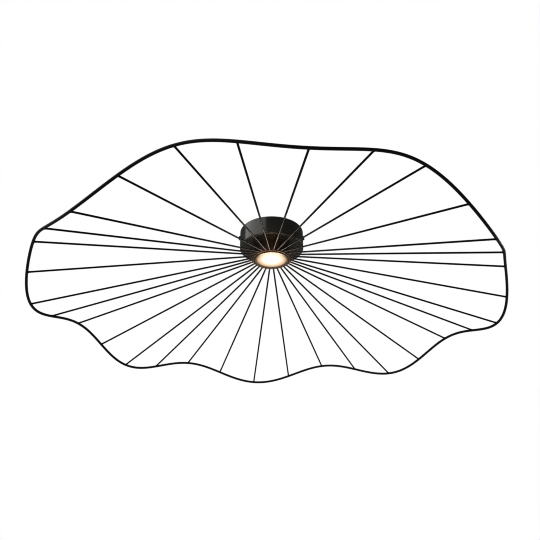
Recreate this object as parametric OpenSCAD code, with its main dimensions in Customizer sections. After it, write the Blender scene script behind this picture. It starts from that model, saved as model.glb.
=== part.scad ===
// Flush ceiling light with a wire shade: a round drum on the ceiling, a short round LED head below it,
// and a fan of straight rods that runs out and down to a closed wavy rim.
// Millimetres. The origin is on the ceiling, in the middle of the bracket, and +Z points up.
// A bearing is counted from +Y towards +X, as on a compass seen from above.

/* [Wire shade] */
// Mean radius of the rim
rim_radius = 400; // [340:5:460]
// Mean depth of the rim below the roots of the rods
rim_drop = 89; // [60:1:120]
// Thickness of the rim rod
rim_rod_d = 4; // [3:0.5:6]
// Thickness of the straight rods
spoke_d = 2.5; // [2:0.1:2.8]
// Number of straight rods to each wave
spokes_per_wave = 4; // [2:1:5]
// Height of a wave above and below its middle line
wave_height = 16.8; // [0:0.2:24]
// Bearing of the first wave crest
wave_bearing = 18.1; // [0:0.1:45]
// How far a wave swings out and in
wave_reach = 3.6; // [0:0.2:8]
// Bearing at which the waves swing out furthest
wave_reach_bearing = -3.2; // [-22:0.1:22]
// How far the rim's oval reaches past its mean circle
oval_reach = 9.2; // [0:0.2:20]
// Bearing of the oval's long axis
oval_bearing = 10.5; // [0:0.5:180]
// How far the rim's four soft corners reach out
corner_reach = 6.6; // [0:0.2:12]
// Bearing of the first soft corner
corner_bearing = -11.2; // [-45:0.1:45]
// Rise of the rim's saddle along its high axis
saddle_height = 7.2; // [0:0.2:16]
// Bearing of the saddle's high axis
saddle_bearing = 0; // [-90:1:90]
// Lift of the rim at its four corners
corner_height = 4.4; // [0:0.2:10]
// Bearing of the first lifted corner
corner_height_bearing = -2.2; // [-45:0.1:45]

/* [Rod hub] */
// Width of the ring that the rods are set in, from the housing's mouth outwards
hub_width = 4.55; // [4:0.05:8]
// Thickness of that ring
hub_h = 5; // [4.5:0.1:7]
// Depth of the sockets that hold the rods
socket_depth = 3; // [2:0.1:3]

/* [Canopy] */
// Outer diameter of the drum on the ceiling
canopy_d = 115; // [104:1:135]
// Height of the drum
canopy_h = 34; // [31:1:44]
// Sheet thickness of the drum
canopy_wall = 1.2; // [0.8:0.1:1.5]
// Outer rounding of the drum's lower edge
canopy_corner = 2; // [1.8:0.1:4]

/* [LED head] */
// Wall of the head's housing round its thread
head_wall = 1.55; // [1.2:0.05:3]
// Height from the drum's underside to the light's front face
head_h = 23; // [20.5:0.5:30]
// Thickness of the housing's top plate, which spreads the heat
head_plate = 6; // [5:0.5:8]
// Outer diameter of the front ring, from which the head's other diameters follow
bezel_d = 61; // [55:0.5:70]
// Width of the front ring's face, from its edge to the lit opening
bezel_face = 3.1; // [2.8:0.1:5]
// How far the front ring's flange reaches past its thread
bezel_lip = 1.1; // [0.7:0.1:1.4]
// Thickness of the front ring's flange
bezel_flange = 1.4; // [1:0.1:2]
// Length of thread that the front ring has in the housing
bezel_grip = 4; // [3:0.5:5]
// Thickness of the diffuser
lens_t = 2; // [1.5:0.1:3]
// Thickness of the lens gasket
gasket_t = 0.5; // [0.3:0.1:1]
// Diameter of the LED board
led_board_d = 50; // [45:0.5:53]
// Thickness of the LED board
led_board_t = 1.6; // [1:0.1:2]
// Thickness of the heat pad above the LED board
heat_pad_t = 0.5; // [0.3:0.1:1]

/* [Stem] */
// Diameter of the hollow threaded stem
stem_d = 10; // [9:0.5:11]
// Bore of the stem
stem_bore = 7; // [6:0.2:7.4]
// Height of the stem's nut
stem_nut_h = 3.5; // [3:0.5:5]
// Width across the flats of the stem's nut
stem_nut_af = 14; // [13.5:0.5:16]
// Thickness of the washer under the nut
stem_washer_t = 1; // [0.8:0.1:1.6]

/* [Ceiling bracket] */
// Sheet thickness of the bracket
bracket_t = 1.5; // [1.2:0.1:2]
// Width of the bracket's strip
bracket_w = 26; // [25:1:30]
// Width of the ears that the drum is screwed to
ear_w = 14; // [10:1:16]
// Depth of the ears below the ceiling
ear_h = 15; // [14:0.5:18]
// Distance between the two ceiling screws
fixing_spacing = 72; // [66:1:74]
// Length of the slots for the ceiling screws
fixing_slot_length = 14; // [8:0.5:16]
// Width of the slots for the ceiling screws
fixing_slot_width = 5; // [4:0.1:6]
// Hole in the cable grommet
cable_hole_d = 10; // [8:0.5:11]

/* [Side screws] */
// Thread diameter of the screws that hold the drum
side_screw_d = 4; // [3:0.5:5]
// Head diameter of those screws
side_head_d = 7.2; // [6.6:0.2:9]
// Head thickness of those screws
side_head_h = 1.8; // [1.4:0.1:2.4]
// Depth of those screws below the ceiling
side_screw_depth = 9.5; // [8.5:0.5:10.5]

/* [Wiring] */
// Length of the LED driver
driver_l = 68; // [60:1:70]
// Width of the LED driver
driver_w = 28; // [24:1:28]
// Height of the LED driver with its lid
driver_h = 19; // [16:0.5:20]
// Wall of the LED driver's case
driver_wall = 1.5; // [1:0.1:2]
// Thickness of the pad that the driver stands on
driver_pad_t = 0.8; // [0.5:0.1:1.5]
// Distance from one pole of the terminal block to the next
pole_pitch = 9; // [8.5:0.1:9.5]
// Thickness of the insulated leads
lead_d = 2; // [1.4:0.1:2.2]

/* [Hidden] */
SPOKE_SETS = 8; // one set of rods to each wave of the rim

$fn = 96;

// Clearances
thread_gap = 0.05;
weld_gap = 0.05;
slip_gap = 0.1;
hole_gap = 0.25;
body_gap = 0.3;
cut = 1;

// Wire shade
wave_count = SPOKE_SETS;
spoke_count = wave_count * spokes_per_wave;
spoke_step = 360 / spoke_count;
rim_rings = 256;
rim_sides = 10;
bearing_step = 0.5;
root_share = 0.4;

// Heights, from the ceiling down
canopy_under = -canopy_h;
canopy_floor = canopy_under + canopy_wall;
front_z = canopy_under - head_h;
flange_top = front_z + bezel_flange;
hub_top = flange_top + hub_h;
spoke_root_z = flange_top + root_share * hub_h;
plate_under = canopy_under - head_plate;
board_top = plate_under - heat_pad_t;
board_under = board_top - led_board_t;
lens_top = flange_top + lens_t;
rim_mean_z = spoke_root_z - rim_drop;

// Radii of the LED head
bezel_r = bezel_d / 2;
light_r = bezel_r - bezel_face;
thread_r = bezel_r - bezel_lip;
mouth_r = thread_r + thread_gap;
head_r = mouth_r + head_wall;
hub_r = mouth_r + hub_width;
lens_seat = 0.8;
bezel_bore_r = light_r + lens_seat;
lens_r = bezel_bore_r - slip_gap;
led_board_r = led_board_d / 2;
board_edge = 0.4;
reflector_wall = 1.2;
reflector_foot_r = bezel_bore_r - body_gap - reflector_wall;
reflector_top_r = min(led_board_r - board_edge, reflector_foot_r);

// LED board
chip_size = 2.8;
chip_h = 0.7;
chip_inner_r = 12;
chip_outer_r = reflector_top_r - 3.6;
chip_rings = [[chip_inner_r, 8], [chip_outer_r, 16]];
board_hole_r = stem_bore / 2 + 1;
board_screw_r = (chip_inner_r + chip_outer_r) / 2;
board_screw_d = 3;
board_screw_bite = 4;
board_head_d = 5.4;
board_head_h = 1.6;

// Stem
tag_t = 0.8;
stem_stand = 3.2;
stem_recess = 0.5;
stem_washer_rim = 2;
stem_top = canopy_floor + stem_washer_t + tag_t + stem_nut_h + stem_stand;
stem_foot = plate_under + stem_recess;
stem_washer_r = stem_nut_af / 2 + stem_washer_rim;
nut_corner_r = stem_nut_af / 2 / cos(30);

// Ceiling bracket
bracket_bend = 2.5;
canopy_bore_r = canopy_d / 2 - canopy_wall;
ear_face = sqrt(pow(canopy_bore_r, 2) - pow(ear_w / 2, 2)) - body_gap;
strip_end = sqrt(pow(canopy_bore_r, 2) - pow(bracket_w / 2, 2)) - body_gap;
grommet_wall = 3;
grommet_lip = 1.2;
grommet_r = cable_hole_d / 2 + grommet_wall;
collar_wall = 1.6;
collar_l = 2.5;
wing_margin = 1.5;

// Side screws
side_washer_t = 0.6;
side_washer_rim = 0.8;
side_washer_r = side_head_d / 2 + side_washer_rim;
side_seat = canopy_d / 2 + slip_gap;
side_tip_stand = 0.4;
side_tip = ear_face - bracket_t - collar_l - side_tip_stand;
screw_slot_w = 1;
screw_slot_depth = 0.9;

// Terminal block
block_l = 20;
block_base_h = 10;
block_tower_h = 14;
block_stand = 7;
block_front = -bracket_w / 2 - block_stand;
block_y = block_front - block_l / 2;
wing_w = 3 * pole_pitch + 2 * wing_margin;
wing_reach = block_l + wing_margin - block_front;
sleeve_r = 2.25;
sleeve_bore_r = 1.5;
sleeve_inset = 1;
sleeve_depth = 5.5;
sleeve_z = -bracket_t - sleeve_depth;
terminal_screw_d = 2.6;
terminal_screw_y = 5.5;
terminal_sink = 1;
terminal_slot_w = 0.6;
tower_r = 3;
block_screw_d = 3;
block_screw_x = pole_pitch / 2;
block_head_d = 3.6;
block_head_h = 1.4;
pole_x = [for (i = [-1 : 1]) i * pole_pitch];

// Earth screw
earth_x = 19;
earth_y = -7;
earth_screw_d = 4;
earth_head_d = 7;
earth_head_h = 2;
tag_step = tag_t + thread_gap;
barrel_l = 5;
barrel_wall = 0.6;
barrel_r = lead_d / 2 + barrel_wall;

// Driver
driver_y = sqrt(pow(canopy_bore_r, 2) - pow(driver_l / 2, 2)) - body_gap - driver_w / 2;
driver_foot = canopy_floor + driver_pad_t;
driver_lid_t = 1.5;
driver_rim = driver_foot + driver_h - driver_lid_t;
driver_post_h = 2.5;
driver_post_d = 4;
driver_board_t = 1.6;
driver_board_top = driver_foot + driver_wall + driver_post_h + driver_board_t;
lead_r = lead_d / 2;
lead_hole_r = lead_r + hole_gap;
lead_space = 0.8;
lead_tail = 4;
lead_lay = lead_d + lead_space;
lead_sides = 8;
lead_rings_per_span = 3;
driver_lead_z = driver_board_top + lead_r + slip_gap;
driver_lead_end = driver_l / 2 - driver_wall - lead_tail;

// Earth tags
earth_tag_r = 4.2;
barrel_start = 0.3;
stem_tag_turn = -45;

// Parts on the driver's board
driver_post_inset = 6;
driver_lip_h = 1.2;
coil_l = 16;
coil_w = 14;
coil_h = 9;
coil_overhang = 5;
capacitor_x = 19;
capacitor_y = 5;
capacitor_d = 8;
capacitor_h = 9.5;

// Small sizes of the front ring and gasket
bezel_edge = 0.6;
gasket_w = 2;

// Routes of the leads, by hand between the pieces that they join
sleeve_end = block_front - lead_tail;
sleeve_out = block_front + 3;
driver_front = driver_y - lead_lay / 2;
driver_back = driver_y + lead_lay / 2;
driver_end = driver_l / 2;
driver_near = driver_y - driver_w / 2;
driver_out = driver_end + 1.5;
bore_lay = lead_r + 0.45;
solder_z = board_under - lead_r - slip_gap;
solder_y = 9;
barrel_mouth = 0.1;
barrel_out = 1.2;
barrel_grip = 3;
barrel_1_x = earth_x - earth_tag_r - barrel_start - barrel_l;
barrel_1_z = -bracket_t - barrel_r;
barrel_2_y = earth_y - earth_tag_r - barrel_start - barrel_l;
barrel_2_z = -bracket_t - tag_step - barrel_r;
barrel_3_r = stem_washer_r + barrel_start + barrel_l;
barrel_3_z = [0, 0, canopy_floor + stem_washer_t + barrel_r];
barrel_3 = [cos(stem_tag_turn), sin(stem_tag_turn), 0];
live_lead = [
    [pole_x[0], sleeve_end, sleeve_z], [pole_x[0], sleeve_out, sleeve_z], [-12, -11, -9], [-24, -4, -14],
    by_wall(-84, 6.5, -21), by_wall(-74, 4, -25), by_wall(-62, 3, -26),
    [-driver_end - 5, driver_back, driver_lead_z], [-driver_out, driver_back, driver_lead_z],
    [-driver_lead_end, driver_back, driver_lead_z]];
neutral_lead = [
    [pole_x[1], sleeve_end, sleeve_z], [pole_x[1], sleeve_out, sleeve_z], [-2, -12, -9], [-14, -2, -14],
    [-30, 6, -20], [-driver_end - 5.6, driver_near - 3.6, -24], [-driver_end - 7, driver_near + 3.4, -25.5],
    [-driver_end - 4, driver_front, driver_lead_z], [-driver_out, driver_front, driver_lead_z],
    [-driver_lead_end, driver_front, driver_lead_z]];
led_lead_outer = [
    [driver_lead_end, driver_back, driver_lead_z], [driver_out, driver_back, driver_lead_z],
    [driver_end + 5, driver_back, driver_lead_z], by_wall(64, 3, -24), by_wall(76, 3.4, -21), [40, 0, -18],
    [22, -2.4, -16.5], [7, -2, -18], [0.2, -bore_lay, stem_top + 1], [0, -bore_lay, stem_top - 6],
    [0, -bore_lay, plate_under], [0, -bore_lay - 0.6, board_under + 0.6], [0, -bore_lay - 3, solder_z],
    [0, -solder_y, solder_z]];
led_lead_inner = [
    [driver_lead_end, driver_front, driver_lead_z], [driver_out, driver_front, driver_lead_z],
    [driver_end + 4, driver_front, driver_lead_z], [driver_end + 8, driver_near + 5, -23.5],
    [driver_end + 5, driver_near - 3, -20.5], [35, 4, -18], [21, 1.6, -16.5], [7, 1.6, -18],
    [0.2, bore_lay, stem_top + 1], [0, bore_lay, stem_top - 6], [0, bore_lay, plate_under],
    [0, bore_lay + 0.6, board_under + 0.6], [0, bore_lay + 3, solder_z], [0, solder_y, solder_z]];
earth_lead_to_bracket = [
    [pole_x[2], sleeve_end, sleeve_z], [pole_x[2], sleeve_out, sleeve_z], [6.5, -14.5, -6.5],
    [5.3, -11, -5.2], [6.7, -8.2, -4.2], [barrel_1_x - barrel_out, earth_y, barrel_1_z],
    [barrel_1_x - barrel_mouth, earth_y, barrel_1_z], [barrel_1_x + barrel_grip, earth_y, barrel_1_z]];
earth_lead_to_stem = [
    [earth_x, barrel_2_y + barrel_grip, barrel_2_z], [earth_x, barrel_2_y - barrel_mouth, barrel_2_z],
    [earth_x, barrel_2_y - barrel_out, barrel_2_z], [20, -20.5, -6.5], [20.3, -22.5, -11.5], [18, -21, -19],
    [14.3, -16.6, -27], (barrel_3_r + barrel_out) * barrel_3 + barrel_3_z,
    (barrel_3_r + barrel_mouth) * barrel_3 + barrel_3_z, (barrel_3_r - barrel_grip) * barrel_3 + barrel_3_z];

// Plain helpers

function unit(v) = v / norm(v);

// Turns +Z to the direction v
module aim(v) {
    rotate([0, acos(v.z / norm(v)), atan2(v.y, v.x)]) children();
}

module ring(outer_r, inner_r, h) {
    difference() {
        cylinder(h = h, r = outer_r);
        translate([0, 0, -cut]) cylinder(h = h + 2 * cut, r = inner_r);
    }
}

module slot(length, width) {
    square([length - width, width], center = true);
    for (side = [-1, 1]) translate([side * (length - width) / 2, 0]) circle(d = width);
}

// Half outline of a cup with a rounded lower corner, its floor on y = 0
module cup_half(radius, height, corner) {
    square([radius - corner, height]);
    translate([0, corner]) square([radius, height - corner]);
    translate([radius - corner, corner]) circle(corner);
}

module cup_wall(radius, height, corner, wall) {
    difference() {
        cup_half(radius, height, corner);
        translate([-cut, wall]) cup_half(radius - wall + cut, height, corner - wall);
    }
}

// Joins rings of points, each a list of as many points, into one closed skin.
// With loop set the last ring joins the first, and otherwise both ends are capped.
module skin(rings, loop) {
    n = len(rings[0]);
    m = len(rings);
    last = loop ? m - 1 : m - 2;
    sides = [for (i = [0 : last], j = [0 : n - 1], half = [0, 1])
        let (k = (j + 1) % n, next = ((i + 1) % m) * n, a = i * n + j, c = next + k)
        half == 0 ? [a, i * n + k, c] : [a, c, next + j]];
    caps = loop ? [] : [[for (j = [n - 1 : -1 : 0]) j], [for (j = [0 : n - 1]) (m - 1) * n + j]];
    polyhedron(points = [for (r = rings) each r], faces = concat(sides, caps));
}

// A point on a lead's route, a stated way in from the drum's wall
function by_wall(bearing, inset, z) = (canopy_bore_r - inset) * outward(bearing) + [0, 0, z];

// Smooth curve through points picked by hand
function curve_point(a, b, c, d, t) =
    0.5 * (2 * b + (c - a) * t + (2 * a - 5 * b + 4 * c - d) * t * t + (3 * b - a - 3 * c + d) * t * t * t);

function curve(points, steps) = let (last = len(points) - 1) concat(
    [for (i = [0 : last - 1], k = [0 : steps - 1])
        curve_point(points[max(i - 1, 0)], points[i], points[i + 1], points[min(i + 2, last)], k / steps)],
    [points[last]]);

function tangents(path) = [for (i = [0 : len(path) - 1])
    unit(path[min(i + 1, len(path) - 1)] - path[max(i - 1, 0)])];

// Carries a sideways direction along the path without twisting it
function carried(ts, so_far) = len(so_far) == len(ts) ? so_far :
    let (t = ts[len(so_far)], n = so_far[len(so_far) - 1])
    carried(ts, concat(so_far, [unit(n - (n * t) * t)]));

module lead(points) {
    path = curve(points, lead_rings_per_span);
    ts = tangents(path);
    sideways = abs(ts[0].z) > 0.9 ? [1, 0, 0] : [0, 0, 1];
    ns = carried(ts, [unit(sideways - (sideways * ts[0]) * ts[0])]);
    skin([for (i = [0 : len(path) - 1]) [for (j = [0 : lead_sides - 1])
        let (turn = 360 * j / lead_sides)
        path[i] + lead_r * (cos(turn) * ns[i] + sin(turn) * cross(ns[i], ts[i]))]], false);
}

// Wire shade

function rim_r(bearing) = rim_radius
    + oval_reach * cos(2 * (bearing - oval_bearing))
    + corner_reach * cos(4 * (bearing - corner_bearing))
    + wave_reach * cos(wave_count * (bearing - wave_reach_bearing));

function rim_z(bearing) = rim_mean_z
    + saddle_height * cos(2 * (bearing - saddle_bearing))
    + corner_height * cos(4 * (bearing - corner_height_bearing))
    + wave_height * cos(wave_count * (bearing - wave_bearing));

function outward(bearing) = [sin(bearing), cos(bearing), 0];

function rim_point(bearing) = rim_r(bearing) * outward(bearing) + [0, 0, rim_z(bearing)];

function rim_tangent(bearing) = unit(rim_point(bearing + bearing_step) - rim_point(bearing - bearing_step));

function spoke_bearing(i) = (i + 0.5) * spoke_step;

function spoke_root(bearing) = hub_r * outward(bearing) + [0, 0, spoke_root_z];

function spoke_run(bearing) = rim_point(bearing) - spoke_root(bearing);

function spoke_foot(bearing) = spoke_root(bearing) - socket_depth * unit(spoke_run(bearing));

module rim_rod() {
    color([0.06, 0.06, 0.065]) skin([for (i = [0 : rim_rings - 1])
        let (bearing = 360 * i / rim_rings, t = rim_tangent(bearing), o = outward(bearing),
             n = unit(o - (o * t) * t), b = cross(n, t))
        [for (j = [0 : rim_sides - 1]) let (turn = 360 * j / rim_sides)
            rim_point(bearing) + rim_rod_d / 2 * (cos(turn) * n + sin(turn) * b)]], true);
}

// A straight rod from its socket to the rim, hollowed at its end to lie against the round rim rod
module spoke(bearing) {
    difference() {
        translate(spoke_foot(bearing)) aim(spoke_run(bearing))
            cylinder(h = norm(spoke_run(bearing)) + socket_depth, d = spoke_d);
        translate(rim_point(bearing)) aim(rim_tangent(bearing))
            cylinder(h = 4 * rim_rod_d, r = rim_rod_d / 2 + weld_gap, center = true);
    }
}

module spokes(set) {
    color([0.07, 0.07, 0.075])
        for (i = [0 : spokes_per_wave - 1]) spoke(spoke_bearing((set - 1) * spokes_per_wave + i));
}

module spoke_hub() {
    color([0.06, 0.06, 0.065]) difference() {
        translate([0, 0, flange_top]) ring(hub_r, mouth_r, hub_h);
        for (i = [0 : spoke_count - 1]) let (bearing = spoke_bearing(i))
            translate(spoke_foot(bearing)) aim(spoke_run(bearing))
                cylinder(h = 2 * socket_depth, d = spoke_d + 2 * weld_gap);
    }
}

// Canopy and its screws

module canopy_shell() {
    color([0.06, 0.06, 0.065]) difference() {
        translate([0, 0, canopy_under])
            rotate_extrude() cup_wall(canopy_d / 2, canopy_h, canopy_corner, canopy_wall);
        translate([0, 0, canopy_under - cut]) cylinder(h = canopy_wall + 2 * cut, d = stem_d + 2 * hole_gap);
        for (side = [-1, 1]) translate([side * canopy_bore_r, 0, -side_screw_depth])
            rotate([0, 90, 0]) cylinder(h = 4 * canopy_wall, d = side_screw_d + 2 * hole_gap, center = true);
    }
}

// Stands a screw or washer on the drum's right side, its axis along X and its own +Z outwards
module at_side(side) {
    translate([side * side_seat, 0, -side_screw_depth]) rotate([0, side * 90, 0]) children();
}

module side_washer(side) {
    color("dimgray") at_side(side) ring(side_washer_r, side_screw_d / 2 + thread_gap, side_washer_t);
}

module side_screw(side) {
    color([0.1, 0.1, 0.1]) at_side(side) difference() {
        union() {
            translate([0, 0, side_tip - side_seat])
                cylinder(h = side_seat - side_tip + side_washer_t, d = side_screw_d);
            translate([0, 0, side_washer_t]) cylinder(h = side_head_h, d = side_head_d);
        }
        translate([0, 0, side_washer_t + side_head_h - screw_slot_depth / 2 + cut])
            cube([screw_slot_w, side_head_d + cut, screw_slot_depth + 2 * cut], center = true);
    }
}

// Ceiling bracket: a strip with two folded ears, and a wing that carries the terminal block

module bracket_profile() {
    for (flip = [0, 1]) mirror([flip, 0]) cup_wall(ear_face, ear_h, bracket_bend, bracket_t);
}

module bracket_plan() {
    square([2 * strip_end, bracket_w], center = true);
    square([2 * ear_face, ear_w], center = true);
}

module ceiling_bracket() {
    color("silver") difference() {
        union() {
            intersection() {
                translate([0, bracket_w / 2, 0]) rotate([90, 0, 0]) mirror([0, 1, 0])
                    linear_extrude(bracket_w) bracket_profile();
                translate([0, 0, -ear_h - cut]) linear_extrude(ear_h + 2 * cut) bracket_plan();
            }
            translate([-wing_w / 2, -wing_reach, -bracket_t]) cube([wing_w, wing_reach, bracket_t]);
            for (side = [-1, 1]) translate([side * (ear_face - bracket_t / 2), 0, -side_screw_depth])
                rotate([0, -side * 90, 0])
                    cylinder(h = bracket_t / 2 + collar_l, d = side_screw_d + 2 * collar_wall);
        }
        for (side = [-1, 1]) {
            translate([side * fixing_spacing / 2, 0, -bracket_t - cut])
                linear_extrude(bracket_t + 2 * cut) slot(fixing_slot_length, fixing_slot_width);
            translate([side * ear_face, 0, -side_screw_depth]) rotate([0, 90, 0])
                cylinder(h = 4 * (collar_l + bracket_t), d = side_screw_d + 2 * thread_gap, center = true);
        }
        translate([0, 0, -bracket_t - cut]) cylinder(h = bracket_t + 2 * cut, r = grommet_r);
        translate([earth_x, earth_y, -bracket_t - cut])
            cylinder(h = bracket_t + 2 * cut, d = earth_screw_d + 2 * thread_gap);
        translate([block_screw_x, block_y, -bracket_t - cut])
            cylinder(h = bracket_t + 2 * cut, d = block_screw_d + 2 * thread_gap);
    }
}

module cable_grommet() {
    color([0.12, 0.12, 0.12]) difference() {
        translate([0, 0, -bracket_t]) union() {
            cylinder(h = bracket_t, r = grommet_r - thread_gap);
            translate([0, 0, -grommet_lip]) cylinder(h = grommet_lip, r = grommet_r + grommet_lip);
        }
        translate([0, 0, -bracket_t - grommet_lip - cut])
            cylinder(h = bracket_t + grommet_lip + 2 * cut, d = cable_hole_d);
    }
}

// Terminal block, hung under the wing with its screw towers down

module at_terminal_screws() {
    for (x = pole_x, side = [-1, 1]) translate([x, block_y + side * terminal_screw_y, -bracket_t]) children();
}

module terminal_block() {
    color("white") difference() {
        union() {
            translate([-1.5 * pole_pitch, block_y - block_l / 2, -bracket_t - block_base_h])
                cube([3 * pole_pitch, block_l, block_base_h]);
            at_terminal_screws() translate([0, 0, -block_tower_h]) cylinder(h = block_tower_h, r = tower_r);
        }
        for (x = pole_x) translate([x, block_y, sleeve_z]) rotate([90, 0, 0])
            cylinder(h = block_l + 2 * cut, r = sleeve_r + thread_gap, center = true);
        at_terminal_screws() translate([0, 0, -block_tower_h - cut])
            cylinder(h = block_tower_h + cut + bracket_t + sleeve_z, d = terminal_screw_d + 2 * hole_gap);
        translate([block_screw_x, block_y, -bracket_t - block_base_h - cut])
            cylinder(h = block_base_h + 2 * cut, d = block_screw_d + 2 * thread_gap);
    }
}

module terminal_sleeves() {
    color("gold") difference() {
        for (x = pole_x) translate([x, block_y, sleeve_z]) rotate([90, 0, 0])
            translate([0, 0, sleeve_inset - block_l / 2])
                ring(sleeve_r, sleeve_bore_r, block_l - 2 * sleeve_inset);
        at_terminal_screws() translate([0, 0, -block_tower_h - cut])
            cylinder(h = block_tower_h + cut + bracket_t + sleeve_z, d = terminal_screw_d + 2 * thread_gap);
    }
}

module terminal_screws() {
    screw_h = block_tower_h - terminal_sink + bracket_t + sleeve_z - lead_r - slip_gap;
    color("lightgray") at_terminal_screws() translate([0, 0, terminal_sink - block_tower_h]) difference() {
        cylinder(h = screw_h, d = terminal_screw_d);
        cube([terminal_slot_w, terminal_screw_d + cut, 2 * terminal_slot_w], center = true);
    }
}

module block_screw() {
    color("lightgray") translate([block_screw_x, block_y, -bracket_t - block_base_h]) {
        cylinder(h = block_base_h + bracket_t, d = block_screw_d);
        translate([0, 0, -block_head_h]) cylinder(h = block_head_h, d = block_head_d);
    }
}

// Earth screw, its ring tags and the leads

// A ring tag with a crimp barrel that points along +X, its underside on z = 0
module tag(outer_r, inner_r, barrel_z) {
    difference() {
        union() {
            cylinder(h = tag_t, r = outer_r);
            translate([0, -barrel_r, 0]) cube([outer_r + barrel_start + cut, 2 * barrel_r, tag_t]);
            translate([outer_r + barrel_start, 0, barrel_z]) rotate([0, 90, 0])
                cylinder(h = barrel_l, r = barrel_r);
        }
        translate([0, 0, -cut]) cylinder(h = tag_t + 2 * cut, r = inner_r);
        translate([outer_r + barrel_start + cut / 2, 0, barrel_z]) rotate([0, 90, 0])
            cylinder(h = barrel_l, r = lead_r + thread_gap);
    }
}

module earth_tags() {
    color("gold") {
        translate([earth_x, earth_y, -bracket_t]) mirror([0, 0, 1]) rotate([0, 0, 180])
            tag(earth_tag_r, earth_screw_d / 2 + slip_gap, barrel_r);
        translate([earth_x, earth_y, -bracket_t - tag_step]) mirror([0, 0, 1]) rotate([0, 0, -90])
            tag(earth_tag_r, earth_screw_d / 2 + slip_gap, barrel_r);
        translate([0, 0, canopy_floor + stem_washer_t]) rotate([0, 0, stem_tag_turn])
            tag(stem_washer_r, stem_d / 2 + slip_gap, barrel_r);
    }
}

module earth_screw() {
    color("gold") translate([earth_x, earth_y, -bracket_t - 2 * tag_step]) difference() {
        union() {
            cylinder(h = 2 * tag_step + bracket_t, d = earth_screw_d);
            translate([0, 0, -earth_head_h]) cylinder(h = earth_head_h, d = earth_head_d);
        }
        translate([0, 0, -earth_head_h])
            cube([screw_slot_w, earth_head_d + cut, screw_slot_depth], center = true);
    }
}

module earth_leads() {
    color("yellowgreen") {
        lead(earth_lead_to_bracket);
        lead(earth_lead_to_stem);
    }
}

module mains_leads() {
    color("saddlebrown") lead(live_lead);
    color("royalblue") lead(neutral_lead);
}

module led_leads() {
    color("firebrick") lead(led_lead_outer);
    color([0.15, 0.15, 0.15]) lead(led_lead_inner);
}

// LED driver

module driver_box(inset, from_z, h) {
    translate([inset - driver_l / 2, inset + driver_y - driver_w / 2, from_z])
        cube([driver_l - 2 * inset, driver_w - 2 * inset, h]);
}

module driver_pad() {
    color("dimgray") driver_box(2 * driver_wall, canopy_floor, driver_pad_t);
}

module at_driver_posts() {
    post_x = driver_l / 2 - driver_post_inset;
    post_y = driver_w / 2 - driver_post_inset;
    for (x = [-post_x, post_x], y = [-post_y, post_y]) translate([x, driver_y + y, 0]) children();
}

module driver_case() {
    color("whitesmoke") {
        difference() {
            driver_box(0, driver_foot, driver_rim - driver_foot);
            driver_box(driver_wall, driver_foot + driver_wall, driver_h);
            for (y = [-1, 1]) translate([0, driver_y + y * lead_lay / 2, driver_lead_z]) rotate([0, 90, 0])
                cylinder(h = driver_l + 2 * cut, r = lead_hole_r, center = true);
        }
        at_driver_posts() translate([0, 0, driver_foot + driver_wall / 2])
            cylinder(h = driver_wall / 2 + driver_post_h, d = driver_post_d);
    }
}

module driver_lid() {
    color("whitesmoke") {
        driver_box(0, driver_rim, driver_lid_t);
        difference() {
            driver_box(driver_wall + slip_gap, driver_rim - driver_lip_h, driver_lip_h + driver_lid_t / 2);
            driver_box(2 * driver_wall, driver_rim - driver_lip_h - cut, driver_lip_h + cut);
        }
    }
}

module driver_board() {
    color("darkgreen") driver_box(driver_wall + body_gap, driver_board_top - driver_board_t, driver_board_t);
}

module driver_parts() {
    translate([0, driver_y, driver_board_top]) {
        color("goldenrod") {
            translate([-coil_l / 2, -coil_w / 2, 0]) cube([coil_l, coil_w, coil_h]);
            translate([0, 0, coil_h / 2]) rotate([0, 90, 0])
                cylinder(h = coil_l + coil_overhang, d = coil_h, center = true);
        }
        color([0.1, 0.1, 0.12]) for (side = [-1, 1]) translate([side * capacitor_x, side * capacitor_y, 0])
            cylinder(h = capacitor_h, d = capacitor_d);
    }
}

// Stem

module stem_tube() {
    color("lightgray") translate([0, 0, stem_foot]) ring(stem_d / 2, stem_bore / 2, stem_top - stem_foot);
}

module stem_washer() {
    color("silver") translate([0, 0, canopy_floor]) ring(stem_washer_r, stem_d / 2 + slip_gap, stem_washer_t);
}

module stem_nut() {
    color("silver") translate([0, 0, canopy_floor + stem_washer_t + tag_t]) difference() {
        cylinder(h = stem_nut_h, r = nut_corner_r, $fn = 6);
        translate([0, 0, -cut]) cylinder(h = stem_nut_h + 2 * cut, d = stem_d + 2 * thread_gap);
    }
}

// LED head

module at_board_screws() {
    for (side = [-1, 1]) translate([0, side * board_screw_r, 0]) children();
}

module led_housing() {
    color([0.06, 0.06, 0.065]) difference() {
        translate([0, 0, hub_top]) cylinder(h = canopy_under - hub_top, r = head_r);
        translate([0, 0, hub_top - cut]) cylinder(h = plate_under - hub_top + cut, r = mouth_r);
        translate([0, 0, plate_under - cut]) cylinder(h = head_plate + 2 * cut, d = stem_d + 2 * thread_gap);
        at_board_screws() translate([0, 0, plate_under - cut])
            cylinder(h = board_screw_bite + slip_gap + cut, d = board_screw_d + 2 * thread_gap);
    }
}

module board_disc(top_z, h) {
    difference() {
        translate([0, 0, top_z - h]) ring(led_board_r, board_hole_r, h);
        at_board_screws() translate([0, 0, top_z - h - cut])
            cylinder(h = h + 2 * cut, d = board_screw_d + 2 * slip_gap);
    }
}

module heat_pad() {
    color("lightblue") board_disc(plate_under, heat_pad_t);
}

module led_board() {
    color("white") board_disc(board_top, led_board_t);
}

module led_chips() {
    color("khaki") for (chip_ring = chip_rings, i = [0 : chip_ring[1] - 1])
        rotate([0, 0, (i + 0.5) * 360 / chip_ring[1]])
            translate([chip_ring[0] - chip_size / 2, -chip_size / 2, board_under - chip_h])
                cube([chip_size, chip_size, chip_h]);
}

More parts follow.
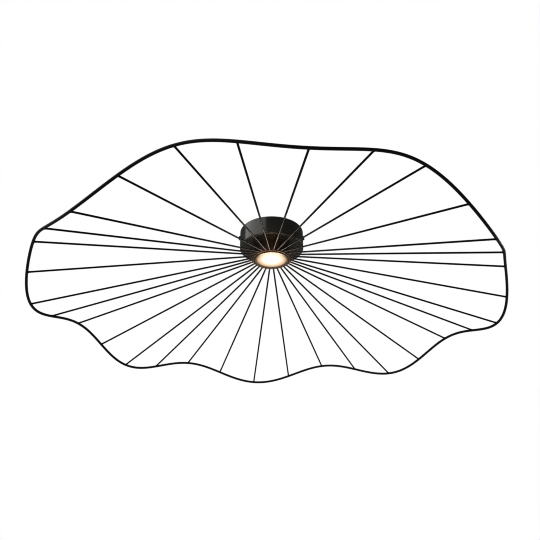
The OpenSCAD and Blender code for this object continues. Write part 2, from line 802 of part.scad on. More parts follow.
module board_screws() {
    color("lightgray") at_board_screws() {
        translate([0, 0, board_under])
            cylinder(h = plate_under - board_under + board_screw_bite, d = board_screw_d);
        translate([0, 0, board_under - board_head_h]) cylinder(h = board_head_h, d = board_head_d);
    }
}

module reflector() {
    foot_z = lens_top + gasket_t + slip_gap;
    color("white") rotate_extrude() polygon([
        [reflector_top_r, board_under], [reflector_foot_r, foot_z],
        [reflector_foot_r + reflector_wall, foot_z], [reflector_top_r + reflector_wall, board_under]]);
}

module lens_gasket() {
    color("gainsboro") translate([0, 0, lens_top]) ring(lens_r, lens_r - gasket_w, gasket_t);
}

module diffuser_lens() {
    color("moccasin") translate([0, 0, flange_top]) cylinder(h = lens_t, r = lens_r);
}

// Front ring: a flange with a rounded edge, and a threaded collar that runs through the hub into the housing
module bezel_ring() {
    color([0.07, 0.07, 0.07]) rotate_extrude() {
        translate([light_r, front_z]) square([bezel_face - bezel_edge, bezel_flange]);
        translate([light_r, front_z + bezel_edge]) square([bezel_face, bezel_flange - bezel_edge]);
        translate([bezel_r - bezel_edge, front_z + bezel_edge]) circle(bezel_edge);
        translate([bezel_bore_r, flange_top - bezel_flange / 2])
            square([thread_r - bezel_bore_r, bezel_flange / 2 + hub_h + bezel_grip]);
    }
}

ceiling_bracket();
cable_grommet();
terminal_block();
terminal_sleeves();
terminal_screws();
block_screw();
earth_screw();
earth_tags();
earth_leads();
mains_leads();
led_leads();
canopy_shell();
side_washer(-1);  // side_washer_left
side_washer(1);  // side_washer_right
side_screw(-1);  // side_screw_left
side_screw(1);  // side_screw_right
driver_pad();
driver_case();
driver_lid();
driver_board();
driver_parts();
stem_tube();
stem_washer();
stem_nut();
led_housing();
heat_pad();
led_board();
led_chips();
board_screws();
reflector();
lens_gasket();
diffuser_lens();
bezel_ring();
spoke_hub();
rim_rod();
for (set = [1 : SPOKE_SETS])
    spokes(set);
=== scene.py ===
import math

import bpy
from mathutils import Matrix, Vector


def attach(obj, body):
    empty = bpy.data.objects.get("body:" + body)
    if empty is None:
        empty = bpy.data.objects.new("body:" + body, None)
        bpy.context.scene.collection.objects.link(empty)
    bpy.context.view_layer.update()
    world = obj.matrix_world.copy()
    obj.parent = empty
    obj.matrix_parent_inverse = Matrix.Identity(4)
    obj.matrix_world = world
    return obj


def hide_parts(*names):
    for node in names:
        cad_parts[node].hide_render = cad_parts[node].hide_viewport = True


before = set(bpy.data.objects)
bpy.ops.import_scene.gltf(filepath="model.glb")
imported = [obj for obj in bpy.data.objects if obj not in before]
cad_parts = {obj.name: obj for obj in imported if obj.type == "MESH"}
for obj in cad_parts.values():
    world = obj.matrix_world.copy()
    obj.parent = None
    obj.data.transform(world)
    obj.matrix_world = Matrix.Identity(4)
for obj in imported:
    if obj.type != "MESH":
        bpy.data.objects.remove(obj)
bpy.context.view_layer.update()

scene = bpy.context.scene

# Camera: below the light and in front of it, looking up
IMAGE_PX = 540
FOCAL_PX = 597
SENSOR_MM = 36
FACE_CENTRE = Vector((0, 0, -0.0565))
FACE_PX = (271.6, 260.4)
FACE_DISTANCE = 1.0753
FACE_ELEVATION = math.radians(29.6)

# Display: its gamma, and the width of the pixel filter
CONTRAST = 0.5
PIXEL_FILTER = 1.25

# Wire shade, as the solids have it
RIM_RADIUS = 0.400
RIM_MEAN_Z = -0.1426
RIM_ROD_R = 0.002
WAVES = 8
SPOKES = 32
SPOKE_R = 0.00125
HUB_R = 0.034
SPOKE_ROOT_Z = -0.0536
SOCKET_DEPTH = 0.003

# The rim's line: how far each form reaches or lifts, and the bearing of its first crest in degrees
OVAL_REACH = 0.0092
OVAL_BEARING = 10.5
CORNER_REACH = 0.0066
CORNER_BEARING = -11.2
WAVE_REACH = 0.0036
WAVE_REACH_BEARING = -3.2
SADDLE_HEIGHT = 0.0072
SADDLE_BEARING = 0
CORNER_HEIGHT = 0.0044
CORNER_HEIGHT_BEARING = -2.2
WAVE_HEIGHT = 0.0168
WAVE_BEARING = 18.1

# Paint and weld on a rod, each (way, radius): from its socket outward, and from the rim's line back
COLLAR = (
    (-SOCKET_DEPTH, SPOKE_R), (-0.0002, SPOKE_R), (0.0, 0.00152), (0.0004, 0.00140), (0.0010, 0.00129),
    (0.0018, SPOKE_R))
WELD = (
    (0.0048, SPOKE_R), (0.0036, 0.00131), (0.0028, 0.00144), (0.0022, 0.00163), (0.0017, 0.00182),
    (0.0006, 0.00170))

# Head and canopy
LIGHT_R = 0.0274
CANOPY_R = 0.0575
CANOPY_UNDER = -0.034
BEZEL_R = 0.0305
BEZEL_FACE_Z = -0.057
HEAD_R = 0.031
HOUSING_FOOT_Z = -0.0506

# Fineness of the meshes
RIM_RINGS = 768
RIM_SIDES = 20
SPOKE_SIDES = 20
LEAD_SIDES = 20
LEAD_STEPS = 12
FLOOR_SIDES = 64

# Paint worn at an edge: how near it is fully worn, how far off no longer, and how it looks there
EDGE_CORE = 0.0004
EDGE_FADE = 0.0016
WORN_ROUGHNESS = 0.3
WORN_SHARE = 0.35
WORN_COLOUR = (0.10, 0.10, 0.102)

# The rods' paint carries a painted warm glow of the lamp's light, from the hub out to this distance from
# the middle
PAINTED_GLOW_R = 0.046

# Sheen of the rods' paint: near the lamp, and from each distance outward
LAMP_SHEEN = 0.3
SHEEN_STEPS = ((0.175, 0.24), (0.190, 0.17), (0.205, 0.11), (0.220, 0.06))

# Stage and light
WHITE = (1, 1, 1)
FLOOR_Z = -2.3
FLOOR_REACHES = (1, 3, 8, 20)
SOFT_SKY = 1.03

# What glossy surfaces reflect, each (height, level). Height is 0 straight below and 1 straight above.
GLOSSY_SKY = (
    (0.0, 1.30), (0.30, 1.50), (0.42, 0.60), (0.52, 0.45), (0.60, 0.30), (0.80, 0.25), (1.0, 0.60))


# Camera

def make_camera():
    half = IMAGE_PX / 2
    off_x = (FACE_PX[0] - half) / FOCAL_PX
    off_y = (half - FACE_PX[1]) / FOCAL_PX
    pitch = FACE_ELEVATION - math.atan(off_y)
    forward = Vector((0, math.cos(pitch), math.sin(pitch)))
    up = Vector((0, -math.sin(pitch), math.cos(pitch)))
    to_face = (forward + Vector((off_x, 0, 0)) + up * off_y).normalized()
    data = bpy.data.cameras.new("camera")
    data.sensor_width = SENSOR_MM
    data.lens = SENSOR_MM * FOCAL_PX / IMAGE_PX
    camera = bpy.data.objects.new("camera", data)
    camera.location = FACE_CENTRE - to_face * FACE_DISTANCE
    camera.rotation_euler = (math.pi / 2 + pitch, 0, 0)
    scene.collection.objects.link(camera)
    bpy.context.scene.camera = camera


make_camera()


# Nodes

def feed(tree, socket, value):
    """Links an input to a socket, or sets it to a value."""
    if isinstance(value, bpy.types.NodeSocket):
        tree.links.new(value, socket)
    elif socket.type == "RGBA":
        socket.default_value = (*value, 1)
    else:
        socket.default_value = value


def add_node(tree, kind, inputs=None, **settings):
    """A new shader node with these settings, its inputs fed by name or number."""
    node = tree.nodes.new("ShaderNode" + kind)
    for setting, value in settings.items():
        setattr(node, setting, value)
    for socket, value in (inputs or {}).items():
        feed(tree, node.inputs[socket], value)
    return node


def fill_ramp(node, stops):
    """Gives a colour ramp its stops, each (place, colour)."""
    elements = node.color_ramp.elements
    while len(elements) < len(stops):
        elements.new(0.5)
    for element, (at, colour) in zip(elements, stops):
        element.position = at
        element.color = (*colour, 1)


# Materials

class Finish:
    """A node material under construction. Its coordinates are the object's own, in metres."""

    def __init__(self, name, **sockets):
        self.material = bpy.data.materials.new(name)
        self.material.use_nodes = True
        self.tree = self.material.node_tree
        self.shader = self.tree.nodes["Principled BSDF"]
        self.coords = self.node("TexCoord").outputs["Object"]
        for socket, value in sockets.items():
            self.put(socket.replace("_", " "), value)

    def node(self, kind, inputs=None, **settings):
        return add_node(self.tree, kind, inputs, **settings)

    def put(self, socket, value):
        feed(self.tree, self.shader.inputs[socket], value)

    def stretched(self, scale):
        """The coordinates drawn out by a scale for each axis."""
        return self.node("VectorMath", {0: self.coords, 1: scale}, operation="MULTIPLY").outputs[0]

    def noise(self, scale, detail, coords=None):
        inputs = {"Vector": coords or self.coords, "Scale": scale, "Detail": detail, "Roughness": 0.55}
        return self.node("TexNoise", inputs).outputs["Fac"]

    def cells(self, scale):
        return self.node("TexVoronoi", {"Vector": self.coords, "Scale": scale}).outputs["Distance"]

    def ranged(self, source, from_low, from_high, low, high):
        """A source that is mapped softly from one range to another."""
        inputs = dict(enumerate((source, from_low, from_high, low, high)))
        return self.node("MapRange", inputs, interpolation_type="SMOOTHSTEP").outputs["Result"]

    def result(self, operation, a, b=0.0):
        return self.node("Math", {0: a, 1: b}, operation=operation).outputs[0]

    def plus(self, a, b):
        return self.result("ADD", a, b)

    def times(self, a, b):
        return self.result("MULTIPLY", a, b)

    def mixed(self, factor, a, b):
        """One colour at factor nought, the other at one."""
        node = self.node("Mix", {"Factor": factor}, data_type="RGBA")
        first, second = [socket for socket in node.inputs if socket.type == "RGBA"]
        feed(self.tree, first, a)
        feed(self.tree, second, b)
        return next(socket for socket in node.outputs if socket.type == "RGBA")

    def axis(self, which):
        return self.node("SeparateXYZ", {0: self.coords}).outputs[which]

    def radius(self):
        """Distance from the light's upright axis."""
        flat = self.stretched((1, 1, 0))
        return self.node("VectorMath", {0: flat}, operation="LENGTH").outputs["Value"]

    def at_edge(self, place, edge):
        """One where a place is at an edge, nought away from it."""
        off = self.result("ABSOLUTE", self.result("SUBTRACT", place, edge))
        return self.ranged(off, EDGE_CORE, EDGE_FADE, 1, 0)

    def bumped(self, height, strength, depth):
        """The finished material, with a height as its relief."""
        inputs = {"Height": height, "Strength": strength, "Distance": depth}
        self.put("Normal", self.node("Bump", inputs).outputs["Normal"])
        return self.material


def powder_coat(name, dark, light, smooth, rough, peel_scale, peel, edges=(), painted_glow=None, **sockets):
    """Satin black powder coat: orange peel, faint clouds of gloss, and edges rubbed lighter and duller.
    Each edge is (radius, height): where the paint is worn thin, round the light's axis.
    Close to the lamp it is given a painted warm glow of the lamp's light, on the hub and the rods' roots."""
    f = Finish(name, **sockets)
    clouds = f.noise(scale=18, detail=4)
    colour = f.mixed(f.ranged(clouds, 0.3, 0.7, 0, 1), dark, light)
    roughness = f.ranged(clouds, 0.25, 0.75, smooth, rough)
    # Painted light: a warm glow of the lamp, full on the hub and gone by the given distance from the
    # middle
    if painted_glow:
        colour = f.mixed(f.ranged(f.radius(), HUB_R, PAINTED_GLOW_R, 1, 0), colour, painted_glow)
    for edge_r, edge_z in edges:
        edge = f.times(f.at_edge(f.radius(), edge_r), f.at_edge(f.axis("Z"), edge_z))
        roughness = f.plus(roughness, f.times(edge, WORN_ROUGHNESS))
        scuffs = f.ranged(f.noise(scale=160, detail=4), 0.4, 0.65, 0, WORN_SHARE)
        colour = f.mixed(f.times(edge, scuffs), colour, WORN_COLOUR)
    f.put("Base Color", colour)
    f.put("Roughness", roughness)
    orange_peel = f.noise(scale=peel_scale, detail=2)
    specks = f.noise(scale=peel_scale * 2.2, detail=2)
    return f.bumped(f.plus(orange_peel, f.times(specks, 0.35)), strength=peel, depth=0.0002)


def rod_coat(name, sheen):
    """The thin rods' powder coat, of one sheen."""
    # Its warm brown near the lamp is painted light, the lamp's glow on the hub and the rods' roots
    return powder_coat(
        name, dark=(0.008, 0.008, 0.0082), light=(0.012, 0.012, 0.0123), smooth=0.46, rough=0.54,
        peel_scale=1300, peel=0.02, painted_glow=(0.044, 0.035, 0.026), Specular_IOR_Level=sheen)


def metal(name, dull, bright, smooth, rough, grain):
    """Bare or plated metal: drawn grain along one axis, and clouds where it has dulled."""
    f = Finish(name, Metallic=1.0)
    streaks = f.noise(scale=1, detail=3, coords=f.stretched(grain))
    shade = f.plus(f.times(f.noise(scale=60, detail=4), 0.6), f.times(streaks, 0.4))
    f.put("Base Color", f.mixed(f.ranged(shade, 0.35, 0.65, 0, 1), dull, bright))
    f.put("Roughness", f.ranged(shade, 0.35, 0.65, rough, smooth))
    return f.bumped(streaks, strength=0.08, depth=0.0001)


def moulded(name, dark, light, roughness, grain, relief, **sockets):
    """Moulded plastic or rubber: an eroded, very fine grain and slight clouding."""
    f = Finish(name, **sockets)
    clouds = f.ranged(f.noise(scale=45, detail=3), 0.3, 0.7, 0, 1)
    patches = f.noise(scale=grain / 3, detail=2)
    f.put("Base Color", f.mixed(clouds, dark, light))
    f.put("Roughness", f.ranged(patches, 0.3, 0.7, roughness - 0.07, roughness + 0.07))
    return f.bumped(f.noise(scale=grain, detail=2), strength=relief, depth=0.0001)


def opal(name):
    """The lit diffuser: white with a cold middle, cream further out, peach at its edge."""
    f = Finish(name, Roughness=0.38, Specular_IOR_Level=0.1, Emission_Strength=1.0)
    glow = f.node("ValToRGB", {"Fac": f.result("DIVIDE", f.radius(), LIGHT_R)})
    glow.color_ramp.interpolation = "B_SPLINE"
    fill_ramp(glow, [
        (0.0, (0.84, 0.86, 0.86)),
        (0.36, (0.86, 0.87, 0.85)),
        (0.57, (0.88, 0.86, 0.80)),
        (0.67, (0.90, 0.80, 0.68)),
        (0.80, (0.80, 0.655, 0.51)),
        (0.93, (0.66, 0.49, 0.37)),
        (1.0, (0.36, 0.25, 0.16)),
    ])
    f.put("Emission Color", glow.outputs["Color"])
    clouds = f.noise(scale=240, detail=3)
    f.put("Base Color", f.mixed(clouds, (0.017, 0.0165, 0.015), (0.021, 0.020, 0.019)))
    return f.bumped(f.noise(scale=2500, detail=2), strength=0.05, depth=0.0001)


def foam(name):
    """Cut foam with open cells."""
    f = Finish(name, Roughness=0.85)
    cells = f.cells(scale=1400)
    walls = f.ranged(cells, 0.1, 0.5, 0, 1)
    f.put("Base Color", f.mixed(walls, (0.055, 0.058, 0.062), (0.16, 0.165, 0.17)))
    return f.bumped(cells, strength=0.5, depth=0.0003)


def circuit(name, mask, mask_light, track):
    """A printed board: solder mask with the tracks below it showing as lighter lanes."""
    f = Finish(name, Roughness=0.3)
    lanes = f.node("TexBrick", {"Vector": f.coords, "Scale": 260, "Mortar Size": 0.05}).outputs["Fac"]
    base = f.mixed(f.noise(scale=90, detail=3), mask, mask_light)
    f.put("Base Color", f.mixed(lanes, base, track))
    return f.bumped(lanes, strength=0.3, depth=0.00005)


def coil_and_capacitors(name):
    """A coil in yellow tape between two black capacitors."""
    coil_end, sleeve_start = 0.0136, 0.0142
    f = Finish(name, Roughness=0.45)
    outer = f.ranged(f.result("ABSOLUTE", f.axis("X")), coil_end, sleeve_start, 0, 1)
    threads = f.noise(scale=1, detail=3, coords=f.stretched((900, 60, 60)))
    tape = f.mixed(threads, (0.55, 0.34, 0.05), (0.72, 0.48, 0.10))
    sleeve = f.mixed(f.noise(scale=120, detail=3), (0.010, 0.011, 0.016), (0.022, 0.023, 0.030))
    f.put("Base Color", f.mixed(outer, tape, sleeve))
    return f.bumped(threads, strength=0.15, depth=0.0001)


def insulation(name, colour, lighter, stripe=None):
    """Drawn insulation of a lead. A stripe runs along it on both sides."""
    f = Finish(name, Coat_Weight=0.15, Coat_Roughness=0.3)
    clouds = f.noise(scale=220, detail=3)
    base = f.mixed(clouds, colour, lighter)
    if stripe:
        stripes = 2
        turn = f.node("SeparateXYZ", {0: f.node("UVMap").outputs["UV"]}).outputs["X"]
        stripe_wave = f.result("SINE", f.times(turn, 2 * math.pi * stripes))
        base = f.mixed(f.ranged(stripe_wave, 0.2, 0.35, 0, 1), base, stripe)
    f.put("Base Color", base)
    f.put("Roughness", f.ranged(clouds, 0.3, 0.7, 0.38, 0.5))
    return f.bumped(f.noise(scale=1500, detail=2), strength=0.06, depth=0.0001)


# Each finish: how it is made, and its values
RECIPES = {
    "black_paint": (powder_coat, dict(
        dark=(0.043, 0.044, 0.041), light=(0.053, 0.054, 0.050), smooth=0.18, rough=0.25,
        peel_scale=1100, peel=0.10, edges=[(CANOPY_R, CANOPY_UNDER), (CANOPY_R, 0.0)])),
    "black_rod_paint": (rod_coat, dict(sheen=LAMP_SHEEN)),
    "black_aluminium": (powder_coat, dict(
        dark=(0.034, 0.031, 0.026), light=(0.044, 0.041, 0.036), smooth=0.26, rough=0.36,
        peel_scale=1500, peel=0.12, edges=[(BEZEL_R, BEZEL_FACE_Z), (HEAD_R, HOUSING_FOOT_Z)])),
    "black_steel": (metal, dict(
        dull=(0.070, 0.070, 0.073), bright=(0.120, 0.120, 0.125), smooth=0.32, rough=0.45,
        grain=(60, 900, 900))),
    "zinc_steel": (metal, dict(
        dull=(0.44, 0.45, 0.47), bright=(0.62, 0.63, 0.62), smooth=0.28, rough=0.44,
        grain=(30, 700, 700))),
    "brass": (metal, dict(
        dull=(0.52, 0.34, 0.12), bright=(0.78, 0.58, 0.26), smooth=0.24, rough=0.40,
        grain=(700, 60, 700))),
    "white_nylon": (moulded, dict(
        dark=(0.52, 0.515, 0.49), light=(0.58, 0.575, 0.555), roughness=0.46, grain=2200, relief=0.12,
        Subsurface_Weight=0.05)),
    "black_rubber": (moulded, dict(
        dark=(0.014, 0.014, 0.014), light=(0.024, 0.024, 0.024), roughness=0.68, grain=1800, relief=0.2)),
    "foam_pad": (foam, {}),
    "clear_silicone": (moulded, dict(
        dark=(0.82, 0.82, 0.80), light=(0.90, 0.90, 0.89), roughness=0.32, grain=1500, relief=0.08,
        Transmission_Weight=0.55)),
    "circuit_board": (circuit, dict(
        mask=(0.010, 0.085, 0.030), mask_light=(0.016, 0.120, 0.045), track=(0.05, 0.22, 0.08))),
    "driver_parts": (coil_and_capacitors, {}),
    "led_board": (circuit, dict(
        mask=(0.58, 0.58, 0.57), mask_light=(0.64, 0.64, 0.63), track=(0.50, 0.50, 0.49))),
    "led_chips": (moulded, dict(
        dark=(0.85, 0.62, 0.10), light=(0.95, 0.74, 0.20), roughness=0.35, grain=2600, relief=0.1)),
    "opal_diffuser": (opal, {}),
    "lead_green": (insulation, dict(
        colour=(0.035, 0.22, 0.045), lighter=(0.05, 0.28, 0.06), stripe=(0.72, 0.60, 0.04))),
    "lead_brown": (insulation, dict(colour=(0.13, 0.048, 0.018), lighter=(0.17, 0.066, 0.026))),
    "lead_blue": (insulation, dict(colour=(0.020, 0.085, 0.33), lighter=(0.028, 0.115, 0.42))),
    "lead_red": (insulation, dict(colour=(0.42, 0.020, 0.016), lighter=(0.52, 0.030, 0.024))),
    "lead_black": (insulation, dict(colour=(0.012, 0.012, 0.013), lighter=(0.022, 0.022, 0.024))),
}
finishes = {name: recipe(name, **values) for name, (recipe, values) in RECIPES.items()}
outer_coats = [rod_coat(f"rod_paint_{i + 1}", sheen) for i, (_, sheen) in enumerate(SHEEN_STEPS)]
rod_coats = [finishes["black_rod_paint"], *outer_coats]

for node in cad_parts.values():
    for place in node.material_slots:
        place.material = finishes[place.material.name.split(".")[0]]


# Meshes

FACE_CORNERS = ((0, 0), (1, 0), (1, 1), (0, 1))


def skin(rings, loop):
    """Vertices, faces and UVs over rings of equally many points, with capped ends unless they loop."""
    sides, count = len(rings[0]), len(rings)
    verts = [p for ring in rings for p in ring]
    faces, uvs = [], []
    for i in range(count if loop else count - 1):
        here, there = i * sides, (i + 1) % count * sides
        for j in range(sides):
            k = (j + 1) % sides
            faces.append((here + j, here + k, there + k, there + j))
            uvs += [((j + across) / sides, (i + along) / count) for across, along in FACE_CORNERS]
    if not loop:
        faces.append(tuple(reversed(range(sides))))
        faces.append(tuple((count - 1) * sides + j for j in range(sides)))
        uvs += [(0.5, 0)] * sides + [(0.5, 1)] * sides
    return verts, faces, uvs


def piece(name, skins, materials, slot, *replaced):
    """One object from several skins, riding on the lamp's body. Each skin has its own material, and skins
    past the last material share it."""
    verts, faces, uvs, coats = [], [], [], []
    for which, (v, f, uv) in enumerate(skins):
        faces += [tuple(len(verts) + i for i in face) for face in f]
        verts += v
        uvs += uv
        coats += [min(which, len(materials) - 1)] * len(f)
    mesh = bpy.data.meshes.new(name)
    mesh.from_pydata(verts, [], faces)
    mesh.polygons.foreach_set("use_smooth", [len(face) == 4 for face in faces])
    mesh.polygons.foreach_set("material_index", coats)
    layer = mesh.uv_layers.new(name="along")
    layer.data.foreach_set("uv", [value for uv in uvs for value in uv])
    mesh.update()
    for material in materials:
        mesh.materials.append(material)
    obj = bpy.data.objects.new(name, mesh)
    scene.collection.objects.link(obj)
    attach(obj, "lamp")
    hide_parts(*replaced)
    return obj


def circle(centre, across, over, radius, sides):
    turns = [2 * math.pi * j / sides for j in range(sides)]
    return [centre + radius * (math.cos(turn) * across + math.sin(turn) * over) for turn in turns]


# Wire shade

def outward(bearing):
    return Vector((math.sin(bearing), math.cos(bearing), 0))


def wave(bearing, size, order, crest):
    return size * math.cos(order * (bearing - math.radians(crest)))


def rim_point(bearing):
    reach = (
        RIM_RADIUS
        + wave(bearing, OVAL_REACH, 2, OVAL_BEARING)
        + wave(bearing, CORNER_REACH, 4, CORNER_BEARING)
        + wave(bearing, WAVE_REACH, WAVES, WAVE_REACH_BEARING))
    height = (
        RIM_MEAN_Z
        + wave(bearing, SADDLE_HEIGHT, 2, SADDLE_BEARING)
        + wave(bearing, CORNER_HEIGHT, 4, CORNER_HEIGHT_BEARING)
        + wave(bearing, WAVE_HEIGHT, WAVES, WAVE_BEARING))
    return reach * outward(bearing) + Vector((0, 0, height))


def rim():
    rings = []
    step = 2 * math.pi / RIM_RINGS
    for i in range(RIM_RINGS):
        bearing = i * step
        along = (rim_point(bearing + step) - rim_point(bearing - step)).normalized()
        across = outward(bearing)
        across = (across - across.dot(along) * along).normalized()
        rings.append(circle(rim_point(bearing), across, along.cross(across), RIM_ROD_R, RIM_SIDES))
    return skin(rings, True)


def rod(bearing):
    """A straight rod with a collar of paint at its socket, a ring near each step of its sheen, and a weld
    that spreads onto the rim rod."""
    root = HUB_R * outward(bearing) + Vector((0, 0, SPOKE_ROOT_Z))
    run = rim_point(bearing) - root
    along = run.normalized()
    across = along.cross(Vector((0, 0, 1))).normalized()
    over = across.cross(along)
    sheen_steps = [(reach - HUB_R, SPOKE_R) for reach, _ in SHEEN_STEPS]
    weld = [(run.length - back, radius) for back, radius in WELD]
    rings = [
        circle(root + along * at, across, over, radius, SPOKE_SIDES)
        for at, radius in (*COLLAR, *sheen_steps, *weld)]
    return skin(rings, False)


piece("rim_bent_rod", [rim()], [finishes["black_rod_paint"]], "black_rod_paint", "rim_rod")
per_wave = SPOKES // WAVES
for group in range(WAVES):
    bearings = [2 * math.pi * (group * per_wave + i + 0.5) / SPOKES for i in range(per_wave)]
    name = f"spokes_{group + 1}"
    rods = piece(f"rods_{group + 1}", [rod(b) for b in bearings], rod_coats, "black_rod_paint", name)
    # The coat changes with the distance from the middle, and not from rod to rod
    for face in rods.data.polygons:
        reach = face.center.xy.length
        face.material_index = sum(reach > start for start, _ in SHEEN_STEPS)


# Leads, on the routes that the solids have. Points are in millimetres, as in the part's source.

MM = 0.001
LEAD_R = 1.0
DRUM_BORE = 56.3
SLEEVE_Z = -7.0
DRIVER_Z = -25.3
DRIVER_END = 34.0
DRIVER_NEAR = 16.574
DRIVER_FRONT = 29.174
DRIVER_BACK = 31.974


def by_wall(bearing, inset, z):
    """A point on a route, a stated way in from the drum's wall."""
    reach = DRUM_BORE - inset
    return (reach * math.sin(math.radians(bearing)), reach * math.cos(math.radians(bearing)), z)


ROUTES = {
    "live": [
        (-9, -24, SLEEVE_Z), (-9, -17, SLEEVE_Z), (-12, -11, -9), (-24, -4, -14), by_wall(-84, 6.5, -21),
        by_wall(-74, 4, -25), by_wall(-62, 3, -26), (-DRIVER_END - 5, DRIVER_BACK, DRIVER_Z),
        (-DRIVER_END - 1.5, DRIVER_BACK, DRIVER_Z), (-DRIVER_END + 5.5, DRIVER_BACK, DRIVER_Z)],
    "neutral": [
        (0, -24, SLEEVE_Z), (0, -17, SLEEVE_Z), (-2, -12, -9), (-14, -2, -14), (-30, 6, -20),
        (-DRIVER_END - 5.6, DRIVER_NEAR - 3.6, -24), (-DRIVER_END - 7, DRIVER_NEAR + 3.4, -25.5),
        (-DRIVER_END - 4, DRIVER_FRONT, DRIVER_Z), (-DRIVER_END - 1.5, DRIVER_FRONT, DRIVER_Z),
        (-DRIVER_END + 5.5, DRIVER_FRONT, DRIVER_Z)],
    "led_outer": [
        (DRIVER_END - 5.5, DRIVER_BACK, DRIVER_Z), (DRIVER_END + 1.5, DRIVER_BACK, DRIVER_Z),
        (DRIVER_END + 5, DRIVER_BACK, DRIVER_Z), by_wall(64, 3, -24), by_wall(76, 3.4, -21), (40, 0, -18),
        (22, -2.4, -16.5), (7, -2, -18), (0.2, -1.45, -23.3), (0, -1.45, -30.3), (0, -1.45, -40),
        (0, -2.05, -41.5), (0, -4.45, -43.2), (0, -9, -43.2)],
    "led_inner": [
        (DRIVER_END - 5.5, DRIVER_FRONT, DRIVER_Z), (DRIVER_END + 1.5, DRIVER_FRONT, DRIVER_Z),
        (DRIVER_END + 4, DRIVER_FRONT, DRIVER_Z), (DRIVER_END + 8, DRIVER_NEAR + 5, -23.5),
        (DRIVER_END + 5, DRIVER_NEAR - 3, -20.5), (35, 4, -18), (21, 1.6, -16.5), (7, 1.6, -18),
        (0.2, 1.45, -23.3), (0, 1.45, -30.3), (0, 1.45, -40), (0, 2.05, -41.5), (0, 4.45, -43.2),
        (0, 9, -43.2)],
    "earth_bracket": [
        (9, -24, SLEEVE_Z), (9, -17, SLEEVE_Z), (6.5, -14.5, -6.5), (5.3, -11, -5.2), (6.7, -8.2, -4.2),
        (8.3, -7, -3.1), (9.4, -7, -3.1), (12.5, -7, -3.1)],
    "earth_stem": [
        (19, -13.5, -3.95), (19, -16.6, -3.95), (19, -17.7, -3.95), (20, -20.5, -6.5),
        (20.3, -22.5, -11.5), (18, -21, -19), (14.3, -16.6, -27), (10.96, -10.96, -30.2),
        (10.18, -10.18, -30.2), (7.99, -7.99, -30.2)],
}


def spline(points):
    """The curve that the solids' leads follow, through every point of a route."""
    last = len(points) - 1
    path = []
    for i in range(last):
        a, b = points[max(i - 1, 0)], points[i]
        c, d = points[i + 1], points[min(i + 2, last)]
        for step in range(LEAD_STEPS):
            t = step / LEAD_STEPS
            path.append(0.5 * (2 * b + (c - a) * t + (2 * a - 5 * b + 4 * c - d) * t * t
                               + (3 * b - a - 3 * c + d) * t * t * t))
    return path + [points[last]]


def lead(route):
    path = spline([Vector(p) * MM for p in ROUTES[route]])
    last = len(path) - 1
    rings = []
    across = Vector((0, 0, 1))
    for i, centre in enumerate(path):
        along = (path[min(i + 1, last)] - path[max(i - 1, 0)]).normalized()
        across = (across - across.dot(along) * along).normalized()
        rings.append(circle(centre, across, across.cross(along), LEAD_R * MM, LEAD_SIDES))
    return skin(rings, False)


piece("mains_lead_pair", [lead("live"), lead("neutral")],
      [finishes["lead_brown"], finishes["lead_blue"]], "lead_brown", "mains_leads")
piece("led_lead_pair", [lead("led_outer"), lead("led_inner")],
      [finishes["lead_red"], finishes["lead_black"]], "lead_red", "led_leads")
piece("earth_lead_pair", [lead("earth_bracket"), lead("earth_stem")],
      [finishes["lead_green"]], "lead_green", "earth_leads")


# Stage and light

def make_floor():
    """A round pale floor, wide enough for its edge to lie near the horizon."""
    centre, right, back = Vector((0, 0, FLOOR_Z)), Vector((1, 0, 0)), Vector((0, 1, 0))
    verts, faces, _ = skin([circle(centre, right, back, r, FLOOR_SIDES) for r in FLOOR_REACHES], False)
    mesh = bpy.data.meshes.new("floor")
    mesh.from_pydata(verts, [], faces[:-1])  # without a cap over the widest ring
    floor = bpy.data.objects.new("floor", mesh)
    scene.collection.objects.link(floor)
    f = Finish("floor", Roughness=0.7)
    f.put("Base Color", f.mixed(f.noise(scale=2, detail=4), (0.87, 0.87, 0.865), (0.91, 0.91, 0.905)))
    mesh.materials.append(f.bumped(f.noise(scale=60, detail=3), strength=0.03, depth=0.001))
    floor.visible_glossy = False


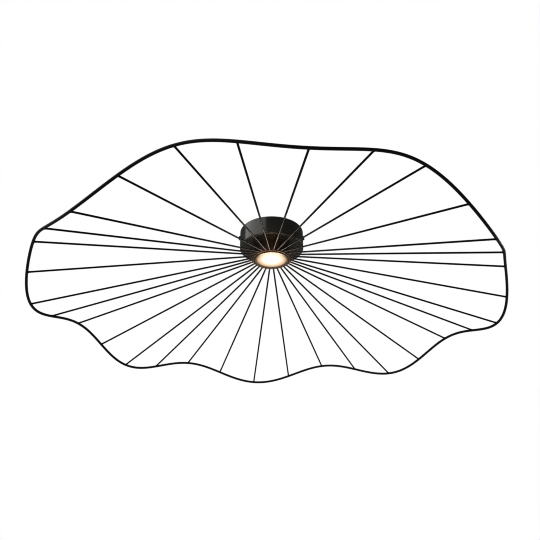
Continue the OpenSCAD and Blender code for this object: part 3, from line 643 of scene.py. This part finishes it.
def make_world():
    """A white backdrop, an even soft light, and a banded sky that only gloss reflects."""
    scene.world = bpy.data.worlds.new("studio")
    scene.world.use_nodes = True
    tree = scene.world.node_tree
    tree.nodes.clear()
    rays = add_node(tree, "LightPath").outputs
    direction = add_node(tree, "TexCoord").outputs["Generated"]
    rise = add_node(tree, "SeparateXYZ", {0: direction}).outputs["Z"]
    height = add_node(tree, "MapRange", {"Value": rise, "From Min": -1, "From Max": 1}).outputs["Result"]
    bands = add_node(tree, "ValToRGB", {"Fac": height})
    fill_ramp(bands, [(at, (level, level, level)) for at, level in GLOSSY_SKY])
    backdrop = add_node(tree, "Background", {"Color": WHITE}).outputs[0]
    soft = add_node(tree, "Background", {"Color": (SOFT_SKY, SOFT_SKY, SOFT_SKY)}).outputs[0]
    glossy = add_node(tree, "Background", {"Color": bands.outputs["Color"]}).outputs[0]
    lit = add_node(tree, "MixShader", {0: rays["Is Glossy Ray"], 1: soft, 2: glossy}).outputs[0]
    seen = add_node(tree, "MixShader", {0: rays["Is Camera Ray"], 1: lit, 2: backdrop}).outputs[0]
    add_node(tree, "OutputWorld", {"Surface": seen})


def add_light(name, kind, place, power, colour=WHITE, target=None, **settings):
    """A light that the camera doesn't see, turned to a target if it has one."""
    data = bpy.data.lights.new(name, kind)
    data.energy = power
    data.color = colour
    for setting, value in settings.items():
        setattr(data, setting, value)
    light = bpy.data.objects.new(name, data)
    light.location = place
    if target:
        light.rotation_euler = (Vector(target) - Vector(place)).to_track_quat("-Z", "Y").to_euler()
    light.visible_camera = False
    scene.collection.objects.link(light)
    return light


def soft_light(name, place, target, width, height, power, colour=WHITE):
    return add_light(
        name, "AREA", place, power, colour, target, shape="RECTANGLE", size=width, size_y=height)


make_floor()
make_world()
soft_light("softbox_left", (-1.20, -0.56, 0.42), (0, 0, -0.03), width=2.2, height=1.8, power=46)
soft_light("softbox_above", (0.1, 0.1, 2.1), (0, 0, 0), width=1.6, height=1.6, power=14)
soft_light("fill_right", (1.8, 0.6, 0.2), (0, 0, -0.03), width=0.8, height=1.2, power=16)
add_light(
    "lamp_glow", "POINT", (0, 0, -0.090), power=0.65, colour=(1.0, 0.91, 0.80), shadow_soft_size=0.040)
warm_glow = add_light(
    "warm_glow", "SPOT", (0, -0.22, -0.20), power=8.0, colour=(1.0, 0.53, 0.26),
    target=(0, -0.034, -0.05), shadow_soft_size=0.03, spot_size=math.radians(18), spot_blend=1.0)
warm_glow.visible_glossy = False
soft_light(
    "lamp_light", (0, 0, -0.068), (0, 0, -1), width=0.05, height=0.05, power=0.25,
    colour=(1.0, 0.95, 0.88))

scene.view_settings.view_transform = "Standard"
scene.view_settings.gamma = CONTRAST
scene.cycles.filter_width = PIXEL_FILTER
